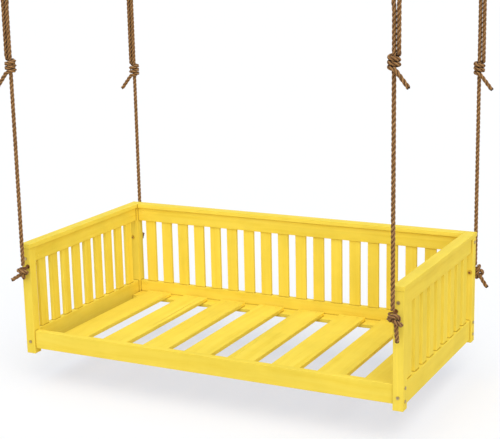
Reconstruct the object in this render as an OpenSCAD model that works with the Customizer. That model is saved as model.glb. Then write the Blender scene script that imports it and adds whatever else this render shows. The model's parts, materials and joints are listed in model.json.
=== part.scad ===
// Hanging swing bed: a slatted wooden day bed carried by four knotted ropes.
// Millimetres. The origin is the middle of the four ceiling plates, on the ceiling.
// X runs along the bed to its right, Y from its open front to its back, Z up.

/* [Bed frame] */
// Length over the posts
bed_len = 2030; // [1400:5:2400]
// Depth over the posts, front to back
bed_depth = 1080; // [800:5:1500]
// Height from the posts' feet to the top of the caps
frame_h = 575; // [500:1:800]
// Side of the square posts
post_w = 50; // [40:1:80]
// Thickness of the flat caps
cap_t = 22; // [15:1:40]
// How far a cap stands past the posts
cap_over = 4; // [2:0.5:12]
// Thickness of the end rails and back rails
rail_t = 32; // [24:1:38]
// Height of the rails under the caps
top_rail_h = 77; // [64:1:110]
// Gap under the end and back bottom rails
low_rail_gap = 15; // [5:1:40]
// Height of the end and back bottom rails
low_rail_h = 105; // [100:1:140]
// Thickness of the front rail
front_rail_t = 32; // [28:1:40]
// Gap under the front rail
front_rail_gap = 28; // [5:1:32]
// Height of the front rail
front_rail_h = 92; // [88:1:130]
// Step from the posts' front faces back to the front rail
front_rail_step = 8; // [0:0.5:14]

/* [Pickets] */
// Width of a picket
picket_w = 60; // [30:1:70]
// Thickness of a picket
picket_t = 18; // [10:0.5:24]
// Pickets in the back
back_pickets = 18; // [8:1:22]
// Pickets in each end
end_pickets = 9; // [4:1:11]

/* [Mattress base] */
// Height of the slats' top above the posts' feet
seat_h = 75; // [72:1:100]
// Width of a slat
slat_w = 146; // [60:1:180]
// Thickness of a slat
slat_t = 20; // [12:0.5:30]
// Gap between the left end rail and the first slat
slat_first_gap = 83; // [10:1:120]
// Gap between the last slat and the right end rail
slat_last_gap = 53; // [10:1:120]
// Gap between a slat's end and the rail behind it
slat_end_gap = 36; // [2:1:50]
// Depth of a ledger board, out from its rail
ledger_w = 90; // [70:1:140]
// Thickness of a ledger board
ledger_t = 20; // [12:0.5:30]

/* [Ropes] */
// Diameter of the rope
rope_d = 20; // [16:0.5:21]
// Distance of the front eyes below the end top rails
eye_below_rail = 16; // [14:1:60]
// Space between the wraps of a hitch
wrap_gap = 0.8; // [0.6:0.1:2]
// Space between a hitch and the rope inside it
wrap_clear = 0.5; // [0.4:0.1:1.5]
// Length of the straight tail of a hitch
hitch_tail = 92; // [30:1:120]
// Radius of the middle of a stopper knot
knot_r = 23; // [20:0.5:24]
// Radius of a stopper knot's side lobes
lobe_r = 16; // [12:0.5:18]
// Distance of the lobes from the middle of the knot
lobe_out = 21; // [14:0.5:24]
// Drop of the knot's middle under its eye
knot_drop = 28; // [27.5:0.5:34]

/* [Eye bolts] */
// Diameter of the eye's bar
eye_bar_d = 8; // [6:0.5:9]
// Inner diameter of the eye
eye_bore_d = 26; // [25:0.5:30]
// Distance from the post's face to the middle of the eye
eye_out = 40; // [38:0.5:60]
// How far the eyes stand from the posts' middles, inward at the front and outward at the back
eye_shift = 12; // [0:0.5:12]
// Diameter of the eye bolt's shank
eye_shank_d = 10; // [8:0.5:12]
// Height of the nut on the eye bolt
eye_nut_h = 9; // [6:0.5:12]
// Distance across the flats of that nut
eye_nut_flats = 17; // [15:0.5:20]

/* [Ceiling fittings] */
// Length of a ceiling plate
plate_x = 130; // [100:1:180]
// Width of a ceiling plate
plate_y = 90; // [70:1:140]
// Thickness of a ceiling plate
plate_t = 6; // [4:0.5:10]
// Distance between the plate's screw holes along the bed
screw_x = 96; // [80:1:110]
// Distance between the plate's screw holes across the bed
screw_y = 60; // [40:1:70]
// Diameter of the plate's screw holes
screw_hole_d = 9; // [6:0.5:12]
// Drop from the ceiling to the pivot pin
pin_drop = 40; // [36:1:60]
// Diameter of the pivot pin
pin_d = 12; // [8:0.5:16]
// Thickness of each ear of the plate
ear_t = 6; // [4:0.5:10]
// Length of the hanger's barrel on the pin
barrel_l = 42; // [30:1:60]
// Drop from the pivot pin to the bar that carries the rope
link_drop = 60; // [58:1:90]
// Diameter of the bar that carries the rope
bar_d = 22; // [16:0.5:22]
// Thickness of the hanger along the bed
link_t = 16; // [10:0.5:20]
// Width of the hanger's arms
arm_w = 12; // [8:0.5:18]

/* [Rail bolts] */
// Diameter of a rail bolt
bolt_d = 8; // [6:0.5:10]
// Diameter of a rail bolt's head
bolt_head_d = 15; // [12:0.5:20]
// Height of a rail bolt's head
bolt_head_h = 4; // [2:0.5:6]
// Distance from a rail's end to its barrel nut
nut_in = 35; // [25:1:60]
// Diameter of a barrel nut
nut_d = 14; // [12:0.5:15]
// Length of a barrel nut
nut_l = 22; // [18:0.5:23]
// Diameter of a slat screw
screw_d = 4.5; // [3:0.5:6]
// Diameter of a slat screw's head
screw_head_d = 9; // [7:0.5:12]
// Length of a slat screw
screw_l = 35; // [28:1:38]

/* [Hidden] */
$fn = 48;
eps = 0.01;
run_fit = 0.05;     // radial play of a pin in its bore
hole_fit = 0.3;     // radial play of a bolt in its hole
seat_fit = 0.35;    // play round the ball of rope that turns in an eye
side_fit = 0.5;     // play at each end of the hanger's barrel
steel = [0.66, 0.67, 0.69];
wood = [0.98, 0.82, 0.36];
rope_brown = [0.60, 0.44, 0.28];

// Ropes. Each route starts over its knot, passes over the ceiling bar and ends in its hitch.
// [outward, up from the bar's centre]
front_left_route = [
    [0, -1427], [0, -1200], [0, -900], [0, -600], [0, -364], [0, -150], [-5, -95], [-15, -42],
    [-22, 0],
    [-20.5, 8.5], [-15.5, 15.5], [-8.5, 20.5], [0, 22], [8.5, 20.5], [15.5, 15.5], [20.5, 8.5],
    [22, 0], [20.5, -150], [20.5, -364]
];
front_right_route = [
    [0, -1427], [0, -1200], [0, -900], [0, -600], [0, -291], [0, -150], [-5, -95], [-15, -42],
    [-22, 0],
    [-20.5, 8.5], [-15.5, 15.5], [-8.5, 20.5], [0, 22], [8.5, 20.5], [15.5, 15.5], [20.5, 8.5],
    [22, 0], [20.5, -150], [20.5, -291]
];
back_left_route = [
    [0, -1512], [0, -1300], [0, -1050], [0, -750], [0, -504], [0, -150], [-5, -95], [-15, -42],
    [-22, 0],
    [-20.5, 8.5], [-15.5, 15.5], [-8.5, 20.5], [0, 22], [8.5, 20.5], [15.5, 15.5], [20.5, 8.5],
    [22, 0], [20.5, -150], [20.5, -504]
];
back_right_route = [
    [0, -1512], [0, -1300], [0, -1050], [0, -750], [0, -435], [0, -150], [-5, -95], [-15, -42],
    [-22, 0],
    [-20.5, 8.5], [-15.5, 15.5], [-8.5, 20.5], [0, 22], [8.5, 20.5], [15.5, 15.5], [20.5, 8.5],
    [22, 0], [20.5, -150], [20.5, -435]
];

// Places worked out from the sizes and routes above. Heights named _h and _z count from the
// posts' feet, and base_z is where those feet are.
bar_z = -(pin_drop + link_drop);
ball_r = eye_bore_d / 2 - seat_fit;
front_drop = eye_bore_d / 2 - front_left_route[0][1];
back_drop = eye_bore_d / 2 - back_left_route[0][1];
front_eye_h = frame_h - cap_t - top_rail_h - eye_below_rail;
base_z = bar_z - front_drop - front_eye_h;
back_eye_h = front_eye_h + front_drop - back_drop;
post_x = bed_len / 2 - post_w / 2;
post_y = bed_depth / 2 - post_w / 2;
post_h = frame_h - cap_t;
span_x = bed_len - 2 * post_w;
span_y = bed_depth - 2 * post_w;
rail_in_x = post_x - rail_t / 2;
back_in_y = post_y - rail_t / 2;
front_mid_y = -(bed_depth / 2 - front_rail_step - front_rail_t / 2);
front_in_y = front_mid_y + front_rail_t / 2;
low_rail_top = low_rail_gap + low_rail_h;
top_rail_z = post_h - top_rail_h;
ledger_z = seat_h - slat_t - ledger_t;

// Mattress base
slats = 8;
slat_pitch = (2 * rail_in_x - slat_first_gap - slat_last_gap - slat_w) / (slats - 1);
slat_y0 = front_in_y + slat_end_gap;
slat_y1 = back_in_y - slat_end_gap;
screw_in = 22;

// Heights of the rail bolts above the posts' feet
end_bolts_z = [low_rail_gap + 47, top_rail_z + 24];
front_bolts_z = [front_rail_gap + 14, front_rail_gap + front_rail_h - 16];
back_bolts_z = [low_rail_gap + 27, low_rail_top - 16, post_h - 25];
bolt_l = post_w + nut_in + nut_d / 2 + 3;
hex_key_d = 5.8;
hex_key_h = 2.5;
nut_recess = 0.5;

rope_sides = 10;

// Hitch: a strand that turns into two and three quarter wraps, then leaves as a tail
wrap_r = rope_d + wrap_clear;
wrap_pitch = rope_d + wrap_gap;
wraps = 2.75;
wrap_rings = 24;
hitch_sides = 6;
lead_in = rope_d;
lead_r = 16;
tail_r = 25;
tail_fall = 51;     // degrees below level
rise_angle = atan(wrap_pitch / (2 * PI * wrap_r));
arc_steps = 6;

// Knot tails, degrees from straight down and outward, and length from the knot's middle
front_left_tail = [62, 86];
front_right_tail = [12, 104];
back_left_tail = [45, 90];
back_right_tail = [43, 96];
seam_turn = 127;    // turns each sphere's seam to where nothing crosses it

// Eyes and fittings
eye_r = eye_bore_d / 2 + eye_bar_d / 2;
collar_d = 2 * eye_shank_d;
collar_t = 4;
shank_past_nut = 4;
ear_gap = barrel_l / 2 + side_fit;
ear_r = pin_d / 2 + 10;
barrel_r = pin_d / 2 + 8;
pin_head_t = 3;
window_y = rope_d / 2 + 14;
window_z = bar_d / 2 + rope_d + 11;
window_shoulder = 16;
arm_y = window_y + arm_w;

// ---- Shared shapes ----

// A board from one corner to the opposite one, heights above the posts' feet
module board(low, high) {
    translate([low[0], low[1], base_z + low[2]])
        cube(high - low);
}

// Sideways step of a flat route's skin where its direction turns
function mitre(before, after) =
    let (along = (before + after) / norm(before + after))
    [-along[1], along[0]] / (along * before);

// Rings of a tube along a flat route in the XZ plane, mitred at each point
function flat_rings(route, r, sides) = [
    for (i = [0 : len(route) - 1])
        let (
            last = len(route) - 1,
            into = i == 0 ? route[1] - route[0] : route[i] - route[i - 1],
            out = i == last ? into : route[i + 1] - route[i],
            side = mitre(into / norm(into), out / norm(out))
        )
        [for (k = [0 : sides - 1])
            let (a = 360 * k / sides)
            [route[i][0] + r * cos(a) * side[0], r * sin(a), route[i][1] + r * cos(a) * side[1]]]
];

// Closed tube through rings that all have the same number of points
module tube(rings) {
    n = len(rings[0]);
    last = len(rings) - 1;
    points = [for (ring = rings) for (p = ring) p];
    walls = [
        for (i = [0 : last - 1])
            for (k = [0 : n - 1])
                let (a = i * n + k, b = i * n + (k + 1) % n)
                each [[a, b, a + n], [b, b + n, a + n]]
    ];
    start_face = [for (k = [1 : n - 2]) [0, k + 1, k]];
    end_face = [for (k = [1 : n - 2]) [last * n, last * n + k, last * n + k + 1]];
    polyhedron(points, concat(walls, start_face, end_face), convexity = 10);
}

// Distance of a rope's line from the middle of the bed
function rope_x(y_side) = post_x + y_side * eye_shift;

// Puts a rope's pieces on its own line, outward being away from the middle of the bed
module on_rope(side, y_side, up) {
    translate([side * rope_x(y_side), y_side * (bed_depth / 2 + eye_out), up])
        mirror([side < 0 ? 1 : 0, 0, 0])
            children();
}

// ---- Ceiling fittings ----

module plate(side, y_side) {
    color(steel)
        on_rope(side, y_side, 0)
            difference() {
                union() {
                    translate([-plate_x / 2, -plate_y / 2, -plate_t])
                        cube([plate_x, plate_y, plate_t]);
                    for (s = [-1, 1]) {
                        translate([s * (ear_gap + ear_t / 2) - ear_t / 2, -ear_r, -pin_drop])
                            cube([ear_t, 2 * ear_r, pin_drop - plate_t / 2]);
                        translate([s * (ear_gap + ear_t / 2), 0, -pin_drop])
                            rotate([0, 90, 0])
                                cylinder(r = ear_r, h = ear_t, center = true);
                    }
                }
                for (sx = [-1, 1], sy = [-1, 1])
                    translate([sx * screw_x / 2, sy * screw_y / 2, -plate_t - 1])
                        cylinder(d = screw_hole_d, h = plate_t + 2);
                translate([0, 0, -pin_drop])
                    rotate([0, 90, 0])
                        cylinder(d = pin_d + eps, h = plate_x, center = true);
            }
}

module ceiling_plate_front_left() { plate(-1, -1); }
module ceiling_plate_front_right() { plate(1, -1); }
module ceiling_plate_back_left() { plate(-1, 1); }
module ceiling_plate_back_right() { plate(1, 1); }

module ceiling_pins() {
    pin_end = ear_gap + ear_t;
    color(steel)
        for (side = [-1, 1], y_side = [-1, 1])
            on_rope(side, y_side, -pin_drop)
                rotate([0, 90, 0]) {
                    cylinder(d = pin_d, h = 2 * pin_end, center = true);
                    for (s = [-1, 1])
                        translate([0, 0, s * (pin_end + pin_head_t / 2)])
                            cylinder(d = 1.5 * pin_d, h = pin_head_t, center = true);
                }
}

// A forged link: a barrel on the pin, two arms, and a round bar for the rope
module hanger(side, y_side) {
    color(steel)
        on_rope(side, y_side, bar_z)
            difference() {
                union() {
                    rotate([90, 0, 90])
                        linear_extrude(height = link_t, center = true)
                            hanger_outline();
                    rotate([90, 0, 0])
                        cylinder(d = bar_d, h = 2 * arm_y, center = true);
                    translate([0, 0, link_drop])
                        rotate([0, 90, 0])
                            cylinder(r = barrel_r, h = barrel_l, center = true);
                }
                translate([0, 0, link_drop])
                    rotate([0, 90, 0])
                        cylinder(r = pin_d / 2 + run_fit, h = barrel_l + 2, center = true);
            }
}

module hanger_outline() {
    difference() {
        polygon([
            [-arm_y, 0], [arm_y, 0], [arm_y, window_z - window_shoulder],
            [barrel_r, link_drop], [-barrel_r, link_drop], [-arm_y, window_z - window_shoulder]
        ]);
        polygon([
            [-window_y, -1], [window_y, -1], [window_y, window_z - window_shoulder],
            [window_y - window_shoulder, window_z], [window_shoulder - window_y, window_z],
            [-window_y, window_z - window_shoulder]
        ]);
    }
}

module hanger_front_left() { hanger(-1, -1); }
module hanger_front_right() { hanger(1, -1); }
module hanger_back_left() { hanger(-1, 1); }
module hanger_back_right() { hanger(1, 1); }

// ---- Ropes, hitches and knots ----

module rope(side, y_side, route) {
    color(rope_brown)
        on_rope(side, y_side, bar_z)
            tube(flat_rings(route, rope_d / 2, rope_sides));
}

module rope_front_left() { rope(-1, -1, front_left_route); }
module rope_front_right() { rope(1, -1, front_right_route); }
module rope_back_left() { rope(-1, 1, back_left_route); }
module rope_back_right() { rope(1, 1, back_right_route); }

// The hitch is drawn on the unrolled skin of a cylinder: [along the skin, up, heading below level]
lead_end = [lead_r * (1 - sin(rise_angle)), -lead_r * cos(rise_angle)];
wrap_end_u = PI * wrap_r * 2 * wraps;
wrap_end = [wrap_end_u, lead_end[1] - tan(rise_angle) * (wrap_end_u - lead_end[0])];
wrap_steps = round(wraps * wrap_rings);
tail_start = wrap_end + tail_r * [sin(tail_fall) - sin(rise_angle), cos(tail_fall) - cos(rise_angle)];

hitch_path = concat(
    [[0, lead_in, 90]],
    [for (i = [0 : arc_steps])
        let (a = 90 - (90 - rise_angle) * i / arc_steps)
        [lead_r * (1 - sin(a)), -lead_r * cos(a), a]],
    [for (i = [1 : wrap_steps])
        let (p = lead_end + (wrap_end - lead_end) * i / wrap_steps)
        [p[0], p[1], rise_angle]],
    [for (i = [1 : arc_steps])
        let (
            a = rise_angle + (tail_fall - rise_angle) * i / arc_steps,
            p = wrap_end + tail_r * [sin(a) - sin(rise_angle), cos(a) - cos(rise_angle)]
        )
        [p[0], p[1], a]],
    [[
        tail_start[0] + hitch_tail * cos(tail_fall),
        tail_start[1] - hitch_tail * sin(tail_fall),
        tail_fall
    ]]
);

// Place, outward direction and level direction of a point of the hitch
function skin_angle(p) = min(p[0], wrap_end_u) / wrap_r * 180 / PI;
function skin_out(p) = [cos(skin_angle(p)), sin(skin_angle(p)), 0];
function skin_along(p) = [-sin(skin_angle(p)), cos(skin_angle(p)), 0];
function hitch_point(p) =
    wrap_r * skin_out(p) + max(0, p[0] - wrap_end_u) * skin_along(p) + [0, 0, p[1]];

hitch_rings = [
    for (p = hitch_path)
        let (across = sin(p[2]) * skin_along(p) + [0, 0, cos(p[2])])
        [for (k = [0 : hitch_sides - 1])
            let (a = 360 * k / hitch_sides)
            hitch_point(p) + rope_d / 2 * (cos(a) * skin_out(p) - sin(a) * across)]
];

// A hitch takes over from the end of its rope's route
module hitch(side, y_side, route) {
    color(rope_brown)
        on_rope(side, y_side, bar_z + route[len(route) - 1][1] - lead_in)
            tube(hitch_rings);
}

module hitch_front_left() { hitch(-1, -1, front_left_route); }
module hitch_front_right() { hitch(1, -1, front_right_route); }
module hitch_back_left() { hitch(-1, 1, back_left_route); }
module hitch_back_right() { hitch(1, 1, back_right_route); }

// Least gap of the hitch to itself, over points at least half a wrap apart
hitch_points = [for (p = hitch_path) hitch_point(p)];
hitch_gap = min([
    for (i = [0 : len(hitch_points) - 1])
        for (j = [i + wrap_rings / 2 : len(hitch_points) - 1])
            norm(hitch_points[i] - hitch_points[j])
]) - rope_d;
echo(hitch_least_gap_to_itself = hitch_gap);

// A stopper knot under its eye, with the ball of rope that turns in the eye, and its tail
module knot(side, y_side, drop, tail) {
    color(rope_brown)
        on_rope(side, y_side, bar_z - drop) {
            sphere(r = ball_r);
            translate([0, 0, -knot_drop])
                cylinder(d = rope_d, h = knot_drop);
            translate([0, 0, -knot_drop]) {
                rotate([90, -seam_turn, 0])
                    sphere(r = knot_r);
                for (s = [-1, 1])
                    translate([s * lobe_out, 0, 0])
                        rotate([90, 90 - s * seam_turn, 0])
                            sphere(r = lobe_r);
                rotate([0, 180 - tail[0], 0]) {
                    cylinder(d = rope_d, h = tail[1] - rope_d / 2);
                    translate([0, 0, tail[1] - rope_d / 2])
                        sphere(d = rope_d);
                }
            }
        }
}

module knot_front_left() { knot(-1, -1, front_drop, front_left_tail); }
module knot_front_right() { knot(1, -1, front_drop, front_right_tail); }
module knot_back_left() { knot(-1, 1, back_drop, back_left_tail); }
module knot_back_right() { knot(1, 1, back_drop, back_right_tail); }

// ---- Eye bolts ----

// Puts a piece at each eye, with +Y pointing into the post
module at_eyes() {
    for (side = [-1, 1], y_side = [-1, 1])
        translate([
            side * rope_x(y_side),
            y_side * (bed_depth / 2 + eye_out),
            bar_z - (y_side < 0 ? front_drop : back_drop)
        ])
            rotate([0, 0, y_side < 0 ? 0 : 180])
                children();
}

module eye_bolts() {
    shank_end = eye_out + post_w + eye_nut_h + shank_past_nut;
    color(steel)
        at_eyes() {
            rotate_extrude()
                translate([eye_r, 0])
                    circle(d = eye_bar_d);
            translate([0, eye_r, 0])
                rotate([-90, 0, 0])
                    cylinder(d = eye_shank_d, h = shank_end - eye_r);
            translate([0, eye_out - collar_t, 0])
                rotate([-90, 0, 0])
                    cylinder(d = collar_d, h = collar_t);
        }
}

module eye_bolt_nuts() {
    color(steel)
        at_eyes()
            translate([0, eye_out + post_w, 0])
                rotate([-90, 0, 0])
                    difference() {
                        cylinder(d = eye_nut_flats / cos(30), h = eye_nut_h, $fn = 6);
                        translate([0, 0, -1])
                            cylinder(d = eye_shank_d + eps, h = eye_nut_h + 2);
                    }
}

// ---- Rail joints: a bolt through a post into a barrel nut in the rail ----

// what is "bolt", "nut" or "cut"; inner points to the rail's inner face, at right angles to the bolt
module joint_shape(what, inner, thick) {
    axis_turn = inner[0] != 0 ? [0, 90 * inner[0], 0] : [-90 * inner[1], 0, 0];
    if (what == "bolt") {
        cylinder(d = bolt_d, h = bolt_l);
        difference() {
            translate([0, 0, -bolt_head_h])
                cylinder(d = bolt_head_d, h = bolt_head_h);
            translate([0, 0, -bolt_head_h - 1])
                cylinder(d = hex_key_d, h = hex_key_h + 1, $fn = 6);
        }
    }
    if (what == "nut")
        difference() {
            translate([0, 0, post_w + nut_in])
                rotate(axis_turn)
                    translate([0, 0, thick / 2 - nut_recess - nut_l])
                        cylinder(d = nut_d, h = nut_l);
            cylinder(d = bolt_d + eps, h = bolt_l + 1);
        }
    if (what == "cut") {
        translate([0, 0, -1])
            cylinder(r = bolt_d / 2 + hole_fit, h = bolt_l + 2);
        translate([0, 0, post_w + nut_in])
            rotate(axis_turn)
                translate([0, 0, thick / 2 - nut_recess - nut_l - hole_fit])
                    cylinder(d = nut_d + eps, h = nut_l + nut_recess + hole_fit + 1);
    }
}

// Bolts along Y, through a post into an end rail
module end_joint(side, y_side, z, what) {
    translate([side * post_x, y_side * bed_depth / 2, base_z + z])
        rotate([90 * y_side, 0, 0])
            joint_shape(what, [-side, 0], rail_t);
}

// Bolts along X, through a post into the front rail or a back rail
module long_joint(side, y, inner_y, thick, z, what) {
    translate([side * bed_len / 2, y, base_z + z])
        rotate([0, -90 * side, 0])
            joint_shape(what, [0, inner_y], thick);
}

module post_joints(side, y_side, what) {
    for (z = end_bolts_z)
        end_joint(side, y_side, z, what);
    if (y_side < 0)
        for (z = front_bolts_z)
            long_joint(side, front_mid_y, 1, front_rail_t, z, what);
    else
        for (z = back_bolts_z)
            long_joint(side, post_y, -1, rail_t, z, what);
}

module every_joint(what) {
    for (side = [-1, 1], y_side = [-1, 1])
        post_joints(side, y_side, what);
}

module rail_bolts() {
    color(steel)
        every_joint("bolt");
}

module barrel_nuts() {
    color(steel)
        every_joint("nut");
}

// ---- Frame ----

module post(side, y_side) {
    x = side * post_x;
    y = y_side * post_y;
    eye_h = y_side < 0 ? front_eye_h : back_eye_h;
    color(wood)
        difference() {
            board([x - post_w / 2, y - post_w / 2, 0], [x + post_w / 2, y + post_w / 2, post_h]);
            post_joints(side, y_side, "cut");
            translate([side * rope_x(y_side), y, base_z + eye_h])
                rotate([90, 0, 0])
                    cylinder(r = eye_shank_d / 2 + hole_fit, h = post_w + 2, center = true);
        }
}

module post_front_left() { post(-1, -1); }
module post_front_right() { post(1, -1); }
module post_back_left() { post(-1, 1); }
module post_back_right() { post(1, 1); }

module end_rail(side, z, high) {
    color(wood)
        difference() {
            board([side * post_x - rail_t / 2, -span_y / 2, z],
                  [side * post_x + rail_t / 2, span_y / 2, z + high]);
            for (y_side = [-1, 1])
                post_joints(side, y_side, "cut");
        }
}

module long_rail(y, thick, z, high) {
    color(wood)
        difference() {
            board([-span_x / 2, y - thick / 2, z], [span_x / 2, y + thick / 2, z + high]);
            for (side = [-1, 1])
                post_joints(side, sign(y), "cut");
        }
}

module top_rail_left() { end_rail(-1, top_rail_z, top_rail_h); }
module top_rail_right() { end_rail(1, top_rail_z, top_rail_h); }
module top_rail_back() { long_rail(post_y, rail_t, top_rail_z, top_rail_h); }
module bottom_rail_left() { end_rail(-1, low_rail_gap, low_rail_h); }
module bottom_rail_right() { end_rail(1, low_rail_gap, low_rail_h); }
module bottom_rail_back() { long_rail(post_y, rail_t, low_rail_gap, low_rail_h); }
module front_rail() { long_rail(front_mid_y, front_rail_t, front_rail_gap, front_rail_h); }

module end_cap(side) {
    half = post_w / 2 + cap_over;
    reach = bed_depth / 2 + cap_over;
    color(wood)
        board([side * post_x - half, -reach, post_h], [side * post_x + half, reach, frame_h]);
}

module cap_left() { end_cap(-1); }
module cap_right() { end_cap(1); }

module cap_back() {
    half = post_w / 2 + cap_over;
    reach = post_x - half;
    color(wood)
        board([-reach, post_y - half, post_h], [reach, post_y + half, frame_h]);
}

// ---- Pickets ----

// Start of picket i in a row that leaves equal gaps, the outer ones too
function picket_at(i, count, span) =
    let (gap = (span - count * picket_w) / (count + 1))
    -span / 2 + gap + i * (picket_w + gap);

module end_panel(side) {
    color(wood)
        for (i = [0 : end_pickets - 1])
            let (y = picket_at(i, end_pickets, span_y))
            board([side * post_x - picket_t / 2, y, low_rail_top],
                  [side * post_x + picket_t / 2, y + picket_w, top_rail_z]);
}

module pickets_left() { end_panel(-1); }
module pickets_right() { end_panel(1); }

module pickets_back() {
    color(wood)
        for (i = [0 : back_pickets - 1])
            let (x = picket_at(i, back_pickets, span_x))
            board([x, post_y - picket_t / 2, low_rail_top],
                  [x + picket_w, post_y + picket_t / 2, top_rail_z]);
}

// ---- Mattress base ----

function slat_x(i) = -rail_in_x + slat_first_gap + i * slat_pitch;

// A screw, or with play the hole for it, at each end of slat i
module screws_of(i, play) {
    for (x = [slat_x(i) + slat_w / 4, slat_x(i) + 3 * slat_w / 4])
        for (y = [slat_y0 + screw_in, slat_y1 - screw_in])
            translate([x, y, base_z + seat_h]) {
                translate([0, 0, -screw_l])
                    cylinder(r = screw_d / 2 + play, h = screw_l);
                translate([0, 0, -screw_head_d / 3])
                    cylinder(r1 = screw_d / 2 + play, r2 = screw_head_d / 2 + play,
                             h = screw_head_d / 3);
            }
}

module slat(i) {
    color(wood)
        difference() {
            board([slat_x(i), slat_y0, seat_h - slat_t], [slat_x(i) + slat_w, slat_y1, seat_h]);
            screws_of(i, eps);
        }
}

module slat_1() { slat(0); }
module slat_2() { slat(1); }
module slat_3() { slat(2); }
module slat_4() { slat(3); }
module slat_5() { slat(4); }
module slat_6() { slat(5); }
module slat_7() { slat(6); }
module slat_8() { slat(7); }

module slat_screws() {
    color(steel)
        for (i = [0 : slats - 1])
            screws_of(i, 0);
}

module ledger(y) {
    color(wood)
        difference() {
            board([-span_x / 2, y, ledger_z], [span_x / 2, y + ledger_w, ledger_z + ledger_t]);
            for (i = [0 : slats - 1])
                screws_of(i, eps);
        }
}

module ledger_front() { ledger(front_in_y); }
module ledger_back() { ledger(back_in_y - ledger_w); }

// ---- Nodes ----

ceiling_plate_front_left();
ceiling_plate_front_right();
ceiling_plate_back_left();
ceiling_plate_back_right();
ceiling_pins();
hanger_front_left();
hanger_front_right();
hanger_back_left();
hanger_back_right();
rope_front_left();
rope_front_right();
rope_back_left();
rope_back_right();
hitch_front_left();
hitch_front_right();
hitch_back_left();
hitch_back_right();
knot_front_left();
knot_front_right();
knot_back_left();
knot_back_right();
eye_bolts();
eye_bolt_nuts();
post_front_left();
post_front_right();
post_back_left();
post_back_right();
top_rail_left();
top_rail_right();
top_rail_back();
bottom_rail_left();
bottom_rail_right();
bottom_rail_back();
front_rail();
cap_left();
cap_right();
cap_back();
pickets_left();
pickets_right();
pickets_back();
ledger_front();
ledger_back();
slat_1();
slat_2();
slat_3();
slat_4();
slat_5();
slat_6();
slat_7();
slat_8();
slat_screws();
rail_bolts();
barrel_nuts();
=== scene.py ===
import json
import math

import bmesh
import bpy
import numpy as np
from mathutils import Matrix, Vector

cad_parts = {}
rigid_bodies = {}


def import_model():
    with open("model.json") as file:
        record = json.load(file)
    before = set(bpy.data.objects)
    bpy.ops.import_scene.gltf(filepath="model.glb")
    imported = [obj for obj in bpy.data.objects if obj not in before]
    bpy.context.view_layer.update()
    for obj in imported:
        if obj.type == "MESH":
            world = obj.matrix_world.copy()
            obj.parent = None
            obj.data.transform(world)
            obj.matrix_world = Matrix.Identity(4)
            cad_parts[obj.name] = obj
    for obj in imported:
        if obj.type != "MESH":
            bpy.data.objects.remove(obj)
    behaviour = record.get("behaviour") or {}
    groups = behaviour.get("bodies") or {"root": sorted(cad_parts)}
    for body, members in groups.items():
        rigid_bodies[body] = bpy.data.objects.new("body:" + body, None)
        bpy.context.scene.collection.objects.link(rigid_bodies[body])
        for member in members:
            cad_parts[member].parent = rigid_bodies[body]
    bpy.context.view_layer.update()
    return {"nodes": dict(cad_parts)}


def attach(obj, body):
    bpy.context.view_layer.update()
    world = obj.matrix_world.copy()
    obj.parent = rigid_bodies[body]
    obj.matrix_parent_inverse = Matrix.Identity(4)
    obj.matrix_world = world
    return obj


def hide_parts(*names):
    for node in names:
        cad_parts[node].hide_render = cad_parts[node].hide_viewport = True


# A slatted day bed, painted yellow, on four laid ropes with drawn-up stopper knots.
# Metres. The origin is the middle of the four ceiling plates, on the ceiling. X runs along the
# bed to its right, Y from its open front to its back, Z up.

for left_over in list(bpy.data.objects):
    bpy.data.objects.remove(left_over, do_unlink=True)

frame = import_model()
scene = bpy.context.scene
nodes = frame["nodes"]

# The side of the middle on which each corner lies, along X and along Y
CORNERS = {
    "front_left": (-1, -1),
    "front_right": (1, -1),
    "back_left": (-1, 1),
    "back_right": (1, 1),
}

# ---- Camera, fitted to the photograph ----

CAMERA_AT = (2.7361, -5.4098, 0.0669)
CAMERA_YAW = math.radians(-26.7763)      # from Y towards X
CAMERA_PITCH = math.radians(12.9776)     # downward
CAMERA_ROLL = math.radians(-1.1831)
FOCAL_PX = 1237.3        # focal length in pixels of the photograph
PHOTO_W = 500            # the photograph's width in pixels
SENSOR_MM = 36.0
SIGHT_M = 200.0          # how far the camera sees


def make_camera():
    data = bpy.data.cameras.new("camera")
    data.sensor_width = SENSOR_MM
    data.lens = FOCAL_PX / PHOTO_W * SENSOR_MM
    data.clip_end = SIGHT_M
    obj = bpy.data.objects.new("camera", data)
    scene.collection.objects.link(obj)
    ahead = Vector((
        math.sin(CAMERA_YAW) * math.cos(CAMERA_PITCH),
        math.cos(CAMERA_YAW) * math.cos(CAMERA_PITCH),
        -math.sin(CAMERA_PITCH),
    ))
    level = Vector((math.cos(CAMERA_YAW), -math.sin(CAMERA_YAW), 0))
    above = level.cross(ahead)
    right = math.cos(CAMERA_ROLL) * level + math.sin(CAMERA_ROLL) * above
    up = -math.sin(CAMERA_ROLL) * level + math.cos(CAMERA_ROLL) * above
    turn = Matrix((right, up, -ahead)).transposed()
    obj.matrix_world = Matrix.Translation(CAMERA_AT) @ turn.to_4x4()
    scene.camera = obj


make_camera()

# ---- Small helpers ----


def unit(v):
    return v / np.linalg.norm(v)


def clamped(value):
    return min(1.0, max(0.0, value))


def linear(r, g, b):
    """A colour written in sRGB, 0 to 255, as Blender's linear values."""
    def one(c):
        c = c / 255
        return c / 12.92 if c <= 0.04045 else ((c + 0.055) / 1.055) ** 2.4
    return (one(r), one(g), one(b), 1.0)


def grey(value):
    """A linear grey, which also carries a roughness through a ramp."""
    return (value, value, value, 1)


WHITE = grey(1)
AO_SAMPLES = 12          # rays that look for a corner, in each shading


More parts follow.
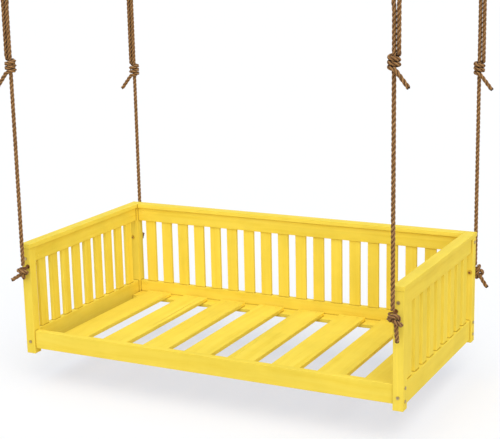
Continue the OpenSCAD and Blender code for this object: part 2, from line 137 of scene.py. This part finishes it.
def new_piece(name, vertices, faces, material):
    mesh = bpy.data.meshes.new(name)
    mesh.from_pydata([tuple(v) for v in vertices], [], [tuple(f) for f in faces])
    mesh.polygons.foreach_set("use_smooth", [True] * len(mesh.polygons))
    mesh.materials.append(material)
    mesh.update()
    obj = bpy.data.objects.new(name, mesh)
    scene.collection.objects.link(obj)
    return obj


class Nodes:
    """Builds the node tree of one material or world."""

    def __init__(self, owner):
        owner.use_nodes = True
        self.owner = owner
        self.tree = owner.node_tree

    def add(self, kind, **settings):
        """A new node. Each setting is one of its inputs or, failing that, a property."""
        node = self.tree.nodes.new(kind)
        for key, value in settings.items():
            if key in node.inputs.keys():
                node.inputs[key].default_value = value
            else:
                setattr(node, key, value)
        return node

    def link(self, out, into):
        self.tree.links.new(out, into)

    def feed(self, socket, value):
        """Gives an input a plain value or another node's output."""
        if isinstance(value, (int, float, tuple)):
            socket.default_value = value
        else:
            self.link(value, socket)

    def shade(self, values):
        """Feeds the inputs of the material's shader."""
        shader = self.tree.nodes["Principled BSDF"]
        for name, value in values.items():
            self.feed(shader.inputs[name], value)

    def ramp(self, factor, stops):
        node = self.add("ShaderNodeValToRGB")
        band = node.color_ramp
        while len(band.elements) < len(stops):
            band.elements.new(0.5)
        for element, (at, colour) in zip(band.elements, stops):
            element.position = at
            element.color = colour
        self.link(factor, node.inputs["Fac"])
        return node.outputs["Color"]

    def maths(self, operation, *values):
        node = self.add("ShaderNodeMath", operation=operation)
        for socket, value in zip(node.inputs, values):
            self.feed(socket, value)
        return node.outputs[0]

    def mix(self, factor, a, b, blend="MIX"):
        node = self.add("ShaderNodeMix", data_type="RGBA", blend_type=blend)
        # a Mix node has a set of sockets for each data type, and these are the colours' ones
        for socket, value in ((node.inputs[0], factor), (node.inputs[6], a), (node.inputs[7], b)):
            self.feed(socket, value)
        return node.outputs[2]

    def times(self, a, b):
        return self.mix(1.0, a, b, "MULTIPLY")

    def stretched(self, place, scale):
        node = self.add("ShaderNodeMapping", Scale=scale)
        self.link(place, node.inputs["Vector"])
        return node.outputs["Vector"]

    def noise(self, place, **settings):
        node = self.add("ShaderNodeTexNoise", **settings)
        self.link(place, node.inputs["Vector"])
        return node

    def corner_shade(self, reach, stops):
        """A colour by how open the surface is: the first stops lie within reach of another one."""
        node = self.add("ShaderNodeAmbientOcclusion", Distance=reach, samples=AO_SAMPLES)
        return self.ramp(node.outputs["AO"], stops)

    def bump(self, height, strength, distance):
        node = self.add("ShaderNodeBump", Strength=strength, Distance=distance)
        self.link(height, node.inputs["Height"])
        return node.outputs["Normal"]

    def backdrop_ray(self):
        """1 for a ray that shows the backdrop, to the camera or in gloss or glass, and else 0."""
        path = self.add("ShaderNodeLightPath")
        seen = self.maths("MAXIMUM", path.outputs["Is Camera Ray"], path.outputs["Is Glossy Ray"])
        return self.maths("MAXIMUM", seen, path.outputs["Is Transmission Ray"])


# ---- Paint ----

GRAIN_ALONG = 1.6        # scale of the grain's noise along a board
GRAIN_ACROSS = 34.0      # and across it
GRAIN_BEND = 1.6         # how far the grain wanders, in that noise
SEAM_SHADE_M = 0.010           # reach of the painted shade in the joints and inner corners

GRAIN_COLOURS = [
    (0.30, linear(247, 219, 78)), (0.47, linear(252, 226, 88)), (0.68, linear(255, 231, 96)),
]
CLOUD_TINTS = [(0.30, linear(247, 247, 243)), (0.62, WHITE)]
BOARD_TINTS = [(0.0, linear(248, 247, 243)), (1.0, WHITE)]
# Painted shade: darker where another surface lies within reach, in the joints and corners
SEAM_SHADE_TINTS = [(0.35, (0.50, 0.38, 0.20, 1)), (0.88, WHITE)]
PAINT_ROUGHNESS = [(0.3, grey(0.40)), (0.7, grey(0.52))]


def paint(name, axis):
    """Yellow satin paint over softwood, with faint grain along one axis and painted shade in the
    joints and corners.
    """
    m = Nodes(bpy.data.materials.new(name))
    place = m.add("ShaderNodeTexCoord").outputs["Object"]
    scale = [GRAIN_ACROSS] * 3
    scale[axis] = GRAIN_ALONG
    bent = m.add("ShaderNodeVectorMath", operation="MULTIPLY_ADD")
    m.feed(bent.inputs[0], m.noise(place, Scale=1.7, Detail=2.0).outputs["Color"])
    m.feed(bent.inputs[1], (GRAIN_BEND,) * 3)
    m.feed(bent.inputs[2], m.stretched(place, tuple(scale)))
    grain = m.noise(bent.outputs[0], Scale=1.0, Detail=6.0, Roughness=0.62).outputs["Fac"]
    cloud = m.noise(place, Scale=5.5, Detail=3.0, Roughness=0.55).outputs["Fac"]
    board = m.add("ShaderNodeNewGeometry").outputs["Random Per Island"]
    tone = m.times(m.ramp(grain, GRAIN_COLOURS), m.ramp(cloud, CLOUD_TINTS))
    tone = m.times(tone, m.ramp(board, BOARD_TINTS))
    m.shade({
        # painted shade in the joints and corners, from how near another surface is
        "Base Color": m.times(tone, m.corner_shade(SEAM_SHADE_M, SEAM_SHADE_TINTS)),
        "Roughness": m.ramp(grain, PAINT_ROUGHNESS),
        "Specular IOR Level": 0.02,
        "Specular Tint": (1.0, 0.84, 0.45, 1),
        "Normal": m.bump(grain, strength=0.28, distance=0.0006),
    })
    return m.owner


# ---- Steel ----

BLOTCH_SHADE = 0.8       # a blotch's sRGB colour, as a share of the steel's own
BLOTCH_DULLING = 0.14    # how much rougher a blotch is


def steel(name, tint, rough):
    """Plated steel with faint blotches and brush marks."""
    m = Nodes(bpy.data.materials.new(name))
    place = m.add("ShaderNodeTexCoord").outputs["Object"]
    blotch = m.noise(place, Scale=60.0, Detail=5.0, Roughness=0.6).outputs["Fac"]
    brushed = m.stretched(place, (900.0, 900.0, 60.0))
    scratch = m.noise(brushed, Scale=1.0, Detail=2.0).outputs["Fac"]
    dark = linear(*[int(c * BLOTCH_SHADE) for c in tint])
    m.shade({
        "Base Color": m.ramp(blotch, [(0.32, dark), (0.6, linear(*tint))]),
        "Roughness": m.ramp(blotch, [(0.3, grey(rough + BLOTCH_DULLING)), (0.7, grey(rough))]),
        "Metallic": 1.0,
        "Normal": m.bump(scratch, strength=0.15, distance=0.0002),
    })
    return m.owner


# ---- Rope fibre ----

YARNS = 9                # yarns round a strand
YARN_TURN_M = 0.070      # length in which a yarn goes once round its strand
CREASE_SHADE_M = 0.012         # reach of the painted shade in the creases between turns of rope
FIBRE_ACROSS = 2.4       # scale of the fibres' noise across a yarn
FIBRE_ALONG = 46.0       # and along the strand
FIBRE_HEIGHT = 0.6       # height of the fibres, as a share of a yarn's

FIBRE_COLOURS = [
    (0.28, linear(106, 70, 35)), (0.45, linear(163, 119, 70)),
    (0.60, linear(202, 156, 102)), (0.76, linear(235, 196, 142)),
]
# Painted shade in the hollows between the yarns, darkest where two yarns meet
YARN_SHADE_TINTS = [(0.0, (0.42, 0.36, 0.32, 1)), (0.45, WHITE)]
PATCH_TINTS = [(0.34, (0.74, 0.70, 0.66, 1)), (0.62, WHITE)]
PATCH_SHARE = 0.8
# Painted shade deep in the grooves between the strands
GROOVE_SHADE_TINTS = [(0.0, WHITE), (1.0, (0.24, 0.17, 0.12, 1))]
# Painted shade in the creases where turns of rope lie close
CREASE_SHADE_TINTS = [(0.30, (0.20, 0.15, 0.11, 1)), (0.80, WHITE)]
SEAL_COLOUR = linear(38, 24, 16)


def fibre(name):
    """Laid brown rope: yarns twisted along each strand, with painted shade between the yarns, in
    the grooves and in the creases, and dark sealed ends.
    """
    m = Nodes(bpy.data.materials.new(name))
    parts = m.add("ShaderNodeSeparateXYZ")
    m.link(m.add("ShaderNodeUVMap", uv_map="UVMap").outputs["UV"], parts.inputs[0])
    around, along = parts.outputs["X"], parts.outputs["Y"]
    turned = m.maths("ADD", around, m.maths("MULTIPLY", along, -1.0 / YARN_TURN_M))
    yarn = m.maths("MULTIPLY", turned, float(YARNS))
    ridge = m.maths("ABSOLUTE", m.maths("SINE", m.maths("MULTIPLY", yarn, math.pi)))

    combed = m.add("ShaderNodeCombineXYZ")
    m.link(m.maths("MULTIPLY", yarn, FIBRE_ACROSS), combed.inputs["X"])
    m.link(m.maths("MULTIPLY", along, FIBRE_ALONG), combed.inputs["Y"])
    fuzz = m.noise(combed.outputs[0], Scale=1.0, Detail=5.0, Roughness=0.65).outputs["Fac"]
    place = m.add("ShaderNodeTexCoord").outputs["Object"]
    patch = m.noise(place, Scale=42.0, Detail=3.0).outputs["Fac"]
    groove_shade = m.add("ShaderNodeAttribute", attribute_name="groove_shade").outputs["Fac"]
    sealed = m.add("ShaderNodeAttribute", attribute_name="sealed").outputs["Fac"]

    # fibre tone, with painted shade in the hollows between the yarns
    colour = m.times(m.ramp(fuzz, FIBRE_COLOURS), m.ramp(ridge, YARN_SHADE_TINTS))
    colour = m.mix(PATCH_SHARE, colour, m.ramp(patch, PATCH_TINTS), "MULTIPLY")
    # painted shade: darker deep in the grooves between the strands
    colour = m.times(colour, m.ramp(groove_shade, GROOVE_SHADE_TINTS))
    # painted shade in the creases where turns of rope lie close
    colour = m.times(colour, m.corner_shade(CREASE_SHADE_M, CREASE_SHADE_TINTS))
    height = m.maths("ADD", ridge, m.maths("MULTIPLY", fuzz, FIBRE_HEIGHT))
    m.shade({
        "Base Color": m.mix(sealed, colour, SEAL_COLOUR),
        "Roughness": 0.86,
        "Specular IOR Level": 0.2,
        "Sheen Weight": 0.10,
        "Sheen Roughness": 0.5,
        "Normal": m.bump(height, strength=0.85, distance=0.0011),
    })
    return m.owner


PAINT = [paint("yellow_paint_" + letter, axis) for axis, letter in enumerate("xyz")]
ZINC = steel("zinc_steel", (205, 205, 208), 0.34)
WARM_ZINC = steel("warm_zinc_steel", (203, 182, 134), 0.36)
BROWN_STEEL = steel("browned_steel", (146, 104, 70), 0.50)
GOLD_STEEL = steel("yellow_passivated_steel", (232, 196, 84), 0.50)
ROPE = fibre("brown_rope")

# ---- Lines: lists of points, measured and smoothed ----

EASE_PASSES = 3
NEARLY_PARALLEL = 0.1    # sine of the angle between two directions that are too alike


def lengths(line):
    """The length of the line up to each of its points."""
    return np.concatenate([[0], np.cumsum(np.linalg.norm(np.diff(line, axis=0), axis=1))])


def resampled(line, step):
    """Points along the line, evenly spaced, about a step apart."""
    line = np.array(line, float)
    along = lengths(line)
    at = np.linspace(0, along[-1], max(2, int(round(along[-1] / step)) + 1))
    return np.stack([np.interp(at, along, line[:, k]) for k in range(3)], axis=1)


def eased(line):
    """The line with its corners rounded a little, its ends kept."""
    line = line.copy()
    for _ in range(EASE_PASSES):
        line[1:-1] = 0.25 * line[:-2] + 0.5 * line[1:-1] + 0.25 * line[2:]
    return line


def carried_frames(line):
    """Two directions across the line at each point, carried along without twist."""
    ahead = np.gradient(line, axis=0)
    ahead /= np.linalg.norm(ahead, axis=1)[:, None]
    first = np.cross(ahead[0], (0.0, 1.0, 0.0))
    if np.linalg.norm(first) < NEARLY_PARALLEL:
        first = np.cross(ahead[0], (1.0, 0.0, 0.0))
    across = [unit(first)]
    for a in ahead[1:]:
        across.append(unit(across[-1] - a * np.dot(a, across[-1])))
    across = np.array(across)
    return across, np.cross(ahead, across)


# ---- Laid rope ----

ROPE_D = 0.020
STRANDS = 3
STRAND_OUT = 0.268 * ROPE_D     # distance of a strand's middle from the rope's
STRAND_R = 0.250 * ROPE_D
STRAND_SIDES = 10
STEP = 0.0045            # distance between the rings of a strand
LAY_M = 0.070            # length in which a strand goes once round the rope
END_SHARE = 0.10         # area of a strand's last ring, as a share of the others'
GROOVE_TOP = 0.98        # the painted shade in the grooves starts here, as a share of the rope's radius
GROOVE_DEPTH = 0.36      # and is darkest this much further in
SEAL_M = 0.009           # length of the dark sealed end
SEAL_EDGE = 1.6          # how sharply it starts


class RopeSkin:
    """The points and faces of a rope, with what its material reads from them."""

    def __init__(self):
        self.points = []
        self.faces = []
        self.yarns = []      # for each face's corners, how far round the strand and along it
        self.groove_shade = []     # for each point, how much painted shade it gets for lying deep between the strands, 0 to 1
        self.sealed = []     # and how much it is part of the dark sealed end, 0 to 1


def strand_radius(along, total):
    """A strand's radius at a place along the rope, less where its ends close in."""
    r = STRAND_R
    for to_end in (along, total - along):
        if to_end < STRAND_R:
            t = 1 - to_end / STRAND_R
            r = min(r, STRAND_R * math.sqrt(max(END_SHARE, 1 - t * t)))
    return r


def add_strand(skin, line, middle):
    """Adds the strand with the given middle line to the skin of the rope along the line."""
    along, own = lengths(line), lengths(middle)
    side_a, side_b = carried_frames(middle)
    first = len(skin.points)
    last = len(line) - 1
    for i in range(last + 1):
        r = strand_radius(along[i], along[-1])
        dark = 1 - (along[-1] - along[i]) / SEAL_M
        for k in range(STRAND_SIDES):
            a = 2 * math.pi * k / STRAND_SIDES
            p = middle[i] + r * (math.cos(a) * side_a[i] + math.sin(a) * side_b[i])
            out = np.linalg.norm(p - line[i]) / (ROPE_D / 2)
            skin.points.append(p)
            # the painted groove shade: more the deeper the point lies between the strands
            skin.groove_shade.append(clamped((GROOVE_TOP - out) / GROOVE_DEPTH))
            skin.sealed.append(clamped(dark * SEAL_EDGE))
    for i in range(last):
        a, b = first + i * STRAND_SIDES, first + (i + 1) * STRAND_SIDES
        for k in range(STRAND_SIDES):
            n = (k + 1) % STRAND_SIDES
            u0, u1 = k / STRAND_SIDES, (k + 1) / STRAND_SIDES
            skin.faces.append((a + k, b + k, b + n, a + n))
            skin.yarns.append([(u0, own[i]), (u0, own[i + 1]), (u1, own[i + 1]), (u1, own[i])])
    end = first + last * STRAND_SIDES
    skin.faces.append(tuple(range(first, first + STRAND_SIDES)))
    skin.yarns.append([(0.5, 0.0)] * STRAND_SIDES)
    skin.faces.append(tuple(reversed(range(end, end + STRAND_SIDES))))
    skin.yarns.append([(0.5, own[-1])] * STRAND_SIDES)


def face_outward(mesh):
    work = bmesh.new()
    work.from_mesh(mesh)
    bmesh.ops.recalc_face_normals(work, faces=work.faces)
    work.to_mesh(mesh)
    work.free()


def laid_rope(name, line, lay):
    """Three strands laid round a line, each once round it in the length of the lay."""
    line = resampled(line, STEP)
    along = lengths(line)
    across, over = carried_frames(line)
    skin = RopeSkin()
    for strand in range(STRANDS):
        angle = 2 * math.pi * (along / lay + strand / STRANDS)
        out = np.cos(angle)[:, None] * across + np.sin(angle)[:, None] * over
        add_strand(skin, line, line + STRAND_OUT * out)
    obj = new_piece(name, skin.points, skin.faces, ROPE)
    layer = obj.data.uv_layers.new(name="UVMap")
    layer.data.foreach_set("uv", [c for face in skin.yarns for corner in face for c in corner])
    for label, values in (("groove_shade", skin.groove_shade), ("sealed", skin.sealed)):
        attribute = obj.data.attributes.new(label, "FLOAT", "POINT")
        attribute.data.foreach_set("value", values)
    face_outward(obj.data)
    return obj


# ---- Routes of the ropes, the same as in the CAD ----

BAR_Z = -0.100           # middle of the ceiling bars
ROPE_X = {-1: 0.978, 1: 1.002}     # distance of the front and the back ropes from the middle
ROPE_Y = 0.580

# Points as [outward, up from the bar's middle]
OVER_BAR = [
    (0, -0.150), (-0.005, -0.095), (-0.015, -0.042), (-0.022, 0), (-0.0205, 0.0085),
    (-0.0155, 0.0155), (-0.0085, 0.0205), (0, 0.022), (0.0085, 0.0205), (0.0155, 0.0155),
    (0.0205, 0.0085), (0.022, 0), (0.0205, -0.150),
]
FRONT_UP = [(0, -1.427), (0, -1.200), (0, -0.900), (0, -0.600)]
BACK_UP = [(0, -1.512), (0, -1.300), (0, -1.050), (0, -0.750)]
ROUTES = {
    "front_left": FRONT_UP + [(0, -0.364)] + OVER_BAR + [(0.0205, -0.364)],
    "front_right": FRONT_UP + [(0, -0.291)] + OVER_BAR + [(0.0205, -0.291)],
    "back_left": BACK_UP + [(0, -0.504)] + OVER_BAR + [(0.0205, -0.504)],
    "back_right": BACK_UP + [(0, -0.435)] + OVER_BAR + [(0.0205, -0.435)],
}
UP_SIDE = 5              # the route's point under the bar on the way up
DOWN_SIDE = 17           # and the one across from it on the way down

# The hitch: a lead-in bends into wraps round the rope, and the last wrap bends into a tail
WRAP_R = ROPE_D + 0.0005
WRAP_PITCH = ROPE_D + 0.0008
WRAPS = 2.75
WRAP_RINGS = 24          # steps in one wrap
LEAD_IN = ROPE_D
LEAD_R = 0.016
TAIL_R = 0.025
TAIL_FALL = math.radians(51)
HITCH_TAIL = 0.092
RISE = math.atan(WRAP_PITCH / (2 * math.pi * WRAP_R))
ARC_STEPS = 6


def unrolled_hitch():
    """The hitch's middle line as [round the wraps, up], and where its last wrap ends."""
    flat = [(0.0, LEAD_IN)]
    for i in range(ARC_STEPS + 1):
        a = math.pi / 2 - (math.pi / 2 - RISE) * i / ARC_STEPS
        flat.append((LEAD_R * (1 - math.sin(a)), -LEAD_R * math.cos(a)))
    lead_u, lead_z = flat[-1]
    end_u = math.pi * WRAP_R * 2 * WRAPS
    end_z = lead_z - math.tan(RISE) * (end_u - lead_u)
    steps = round(WRAPS * WRAP_RINGS)
    for i in range(1, steps + 1):
        flat.append((lead_u + (end_u - lead_u) * i / steps, lead_z + (end_z - lead_z) * i / steps))
    for i in range(1, ARC_STEPS + 1):
        a = RISE + (TAIL_FALL - RISE) * i / ARC_STEPS
        flat.append((
            end_u + TAIL_R * (math.sin(a) - math.sin(RISE)),
            end_z + TAIL_R * (math.cos(a) - math.cos(RISE)),
        ))
    last_u, last_z = flat[-1]
    flat.append((
        last_u + HITCH_TAIL * math.cos(TAIL_FALL), last_z - HITCH_TAIL * math.sin(TAIL_FALL),
    ))
    return flat, end_u


def hitch_line():
    """The hitch's middle line round the rope, which stands on Z, with outward along X."""
    flat, end_u = unrolled_hitch()
    line = []
    for u, z in flat:
        a = min(u, end_u) / WRAP_R
        past = max(0.0, u - end_u)
        line.append((
            WRAP_R * math.cos(a) - past * math.sin(a),
            WRAP_R * math.sin(a) + past * math.cos(a),
            z,
        ))
    return line


def rope_line(corner):
    """The whole rope of a corner from over its knot to the end of its hitch's tail."""
    side, y_side = CORNERS[corner]
    route = ROUTES[corner]
    x, y = side * ROPE_X[y_side], y_side * ROPE_Y
    line = [(x + side * out, y, BAR_Z + up) for out, up in route]
    top = BAR_Z + route[-1][1] - LEAD_IN
    line += [(x + side * px, y + py, top + pz) for px, py, pz in hitch_line()[1:]]
    return line


def nested_lay(line):
    """The lay nearest LAY_M that beds the strands of the two parts under the bar in each other."""
    along = lengths(line)
    loop = along[UP_SIDE] + along[DOWN_SIDE]
    return STRANDS * loop / (round(STRANDS * loop / LAY_M - 0.5) + 0.5)


# ---- Stopper knots ----

EYE_Z = {-1: -1.540, 1: -1.625}    # middle of the front and the back eyes
KNOT_DROP = 0.028        # drop of the CAD knot's middle under its eye
KNOT_LIFT = 0.008        # how much nearer its eye the drawn-up knot sits

# Each knot's tail as in the CAD, in degrees from straight down and outward and in length from the
# CAD knot's middle, and then the turn of the knot about its rope, in degrees
TAILS = {
    "front_left": (62, 0.086, 20),
    "front_right": (12, 0.104, -40),
    "back_left": (45, 0.090, 160),
    "back_right": (43, 0.096, 20),
}

# A loose overhand knot, [across, depth, up] in rope diameters from the knot's middle: down the
# standing part, round the bottom and the left, over the standing part, behind it, and out
# through the loop. The middle of the eye comes before it, and the end of the tail after it.
LOOSE_KNOT = [
    (0, 0, 2.4), (0, 0.25, 1.4), (0, 0.1, 0.5), (0, -0.45, -0.4), (-0.25, 0, -1.4),
    (-0.75, 0.55, -2.0), (-1.6, 0.3, -1.75), (-2.1, 0, -0.6), (-1.9, -0.3, 0.6),
    (-1.0, -0.65, 1.3), (0, -0.8, 1.4), (0.9, -0.4, 1.1), (1.2, 0.2, 0.4), (0.7, 0.7, -0.2),
    (0, 0.85, -0.4), (-0.6, 0.4, -0.7), (-0.8, -0.3, -1.2), (-0.85, -0.85, -1.9),
]
LOOSE_STEP = 0.12        # first spacing of its points, in rope diameters
KNOT_POINTS = 72
KNOT_ROUNDS = 2600
EVEN_OUT = 5             # rounds between two new spacings of the points
PULL = 0.32              # how much a round straightens the line
LAST_PULL = 0.18         # and how much in the last rounds
LAST_ROUNDS = 0.8        # which start after this share of them
PUSHES = 3               # times that a round pushes the line off itself
PUSH = 0.6               # share of the overlap that a push takes away
ROOM = 1.12              # room that each part of the knot keeps for itself, in rope diameters
NEIGHBOURS = 1.55        # parts nearer than this along the line, in rooms, don't push each other
FEWEST_APART = 3         # and neither do parts with fewer steps than this between them
TOUCH = 1e-9             # keeps the distance of a point from itself above zero


def evened(line):
    return resampled(line, lengths(line)[-1] / (KNOT_POINTS - 1))


def pushed_apart(line, apart):
    """The line after a push on the parts that are too close to each other, its ends kept."""
    gap = line[:, None] - line[None]
    far = np.linalg.norm(gap, axis=2) + TOUCH
    index = np.arange(KNOT_POINTS)
    near = (np.abs(index[:, None] - index[None]) >= apart) & (far < ROOM)
    push = np.where(near, 0.5 * (ROOM - far), 0.0)[..., None] * gap / far[..., None]
    many = np.maximum(1, near.sum(1))[:, None] ** 0.5
    move = push.sum(1) / many
    move[0] = move[-1] = 0
    return line + PUSH * move


def tight_knot(top, tail_end):
    """Draws the loose knot tight between two fixed ends, in rope diameters, without crossing."""
    line = evened(resampled([top] + LOOSE_KNOT + [tail_end], LOOSE_STEP))
    for turn in range(KNOT_ROUNDS):
        step = lengths(line)[-1] / (KNOT_POINTS - 1)
        apart = max(FEWEST_APART, int(math.ceil(NEIGHBOURS * ROOM / step)))
        pull = np.zeros_like(line)
        pull[1:-1] = 0.5 * (line[:-2] + line[2:]) - line[1:-1]
        line = line + (PULL if turn < KNOT_ROUNDS * LAST_ROUNDS else LAST_PULL) * pull
        for _ in range(PUSHES):
            line = pushed_apart(line, apart)
        if turn % EVEN_OUT == 0:
            line = evened(line)
    return line


def knot_line(corner):
    """The tightened knot of a corner, from the middle of its eye to the end of its tail."""
    side, y_side = CORNERS[corner]
    fall, length, turn = TAILS[corner]
    fall, turn = math.radians(fall), math.radians(turn)
    top = (0.0, 0.0, (KNOT_DROP - KNOT_LIFT) / ROPE_D)
    away = np.array([side * math.sin(fall), 0.0, -math.cos(fall)]) * length / ROPE_D
    away[2] -= KNOT_LIFT / ROPE_D
    spin = np.array([
        [math.cos(turn), -math.sin(turn), 0], [math.sin(turn), math.cos(turn), 0], [0, 0, 1],
    ])
    line = tight_knot(top, tuple(spin.T @ away)) @ spin.T
    eye = np.array([side * ROPE_X[y_side], y_side * ROPE_Y, EYE_Z[y_side]])
    return eye + np.array([0, 0, KNOT_LIFT - KNOT_DROP]) + line * ROPE_D


for corner in CORNERS:
    body = "rope_" + corner
    knot_body = "knot_front_left" if corner == "front_left" else body
    knot = laid_rope("stopper_knot_" + corner, eased(resampled(knot_line(corner), STEP)), LAY_M)
    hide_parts("knot_" + corner)
    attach(knot, knot_body)

    route = rope_line(corner)
    rope = laid_rope("laid_rope_" + corner, eased(resampled(route, STEP)), nested_lay(route))
    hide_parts("rope_" + corner, "hitch_" + corner)
    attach(rope, body)

# ---- Wood and steel: the CAD nodes in their materials ----

WELD_M = 1e-5                # points nearer than this become one
FLAT = math.radians(0.5)     # faces within this angle count as one flat face
EDGE = math.radians(40)      # sharper edges than this are rounded
EDGE_M = 0.0016              # width of the rounding
EDGE_SEGMENTS = 2


def dress(node, material):
    obj = nodes[node]
    for slot in obj.material_slots:
        slot.link = "OBJECT"
        slot.material = material


def ease_edges(node):
    """Rounds a board's sharp edges a little with modifiers, which leave its mesh as it is."""
    obj = nodes[node]
    weld = obj.modifiers.new("weld", "WELD")
    weld.merge_threshold = WELD_M
    flat = obj.modifiers.new("flat", "DECIMATE")
    flat.decimate_type = "DISSOLVE"
    flat.angle_limit = FLAT
    round_off = obj.modifiers.new("eased_edges", "BEVEL")
    round_off.width = EDGE_M
    round_off.segments = EDGE_SEGMENTS
    round_off.limit_method = "ANGLE"
    round_off.angle_limit = EDGE
    round_off.use_clamp_overlap = False
    round_off.harden_normals = True


X_BOARDS = [
    "top_rail_back", "bottom_rail_back", "front_rail", "cap_back", "ledger_front", "ledger_back",
]
Y_BOARDS = [
    "top_rail_left", "top_rail_right", "bottom_rail_left", "bottom_rail_right",
    "cap_left", "cap_right",
] + ["slat_%d" % i for i in range(1, 9)]
Z_BOARDS = ["post_" + c for c in CORNERS] + ["pickets_left", "pickets_right", "pickets_back"]
for grain_paint, boards in zip(PAINT, (X_BOARDS, Y_BOARDS, Z_BOARDS)):
    for board in boards:
        dress(board, grain_paint)
        ease_edges(board)

# The slat screws and barrel nuts are painted over
dress("slat_screws", PAINT[0])
dress("barrel_nuts", PAINT[0])
dress("eye_bolts", BROWN_STEEL)
dress("eye_bolt_nuts", GOLD_STEEL)
dress("rail_bolts", WARM_ZINC)
dress("ceiling_pins", ZINC)
for corner in CORNERS:
    dress("ceiling_plate_" + corner, ZINC)
    dress("hanger_" + corner, ZINC)

# ---- Floor, backdrop and light ----

FLOOR_Z = -2.16          # 0.16 under the bed's feet
FLOOR_HALF = 60.0        # half the floor's width
# The lit floor and its glow add up to white, and to a neutral grey in the bed's shadow
FLOOR_TINT = (0.58, 0.51, 0.40, 1)
FLOOR_GLOW = (0.395, 0.48, 0.615, 1)
AMBIENT = 0.57           # light from the surroundings, which the camera sees as white


def floor_material(name):
    """Matt floor that also glows where it is seen, but lights nothing by it."""
    m = Nodes(bpy.data.materials.new(name))
    m.tree.nodes.remove(m.tree.nodes["Principled BSDF"])
    matt = m.add("ShaderNodeBsdfDiffuse", Color=FLOOR_TINT)
    shine = m.add("ShaderNodeEmission", Color=FLOOR_GLOW)
    m.link(m.backdrop_ray(), shine.inputs["Strength"])
    both = m.add("ShaderNodeAddShader")
    m.link(matt.outputs[0], both.inputs[0])
    m.link(shine.outputs[0], both.inputs[1])
    m.link(both.outputs[0], m.tree.nodes["Material Output"].inputs["Surface"])
    return m.owner


def make_floor():
    corners = [(-1, -1), (1, -1), (1, 1), (-1, 1)]
    vertices = [(x * FLOOR_HALF, y * FLOOR_HALF, FLOOR_Z) for x, y in corners]
    return new_piece("floor", vertices, [(0, 1, 2, 3)], floor_material("floor_white"))


def make_surroundings():
    scene.world = bpy.data.worlds.new("studio")
    m = Nodes(scene.world)
    sky = m.tree.nodes["Background"]
    sky.inputs["Color"].default_value = WHITE
    level = m.maths("ADD", m.maths("MULTIPLY", m.backdrop_ray(), 1 - AMBIENT), AMBIENT)
    m.link(level, sky.inputs["Strength"])


def sun(name, towards, strength, softness):
    """A sun that shines in a direction, from a disc as wide as the softness in degrees."""
    data = bpy.data.lights.new(name, "SUN")
    data.energy = strength
    data.angle = math.radians(softness)
    obj = bpy.data.objects.new(name, data)
    scene.collection.objects.link(obj)
    obj.rotation_mode = "QUATERNION"
    obj.rotation_quaternion = Vector(towards).to_track_quat("-Z", "Y")


floor = make_floor()
make_surroundings()
sun("overhead", towards=(-0.10, 0.30, -0.95), strength=0.85, softness=70)
sun("front_fill", towards=(-0.56, 0.78, -0.26), strength=2.05, softness=90)

scene.view_settings.view_transform = "Standard"
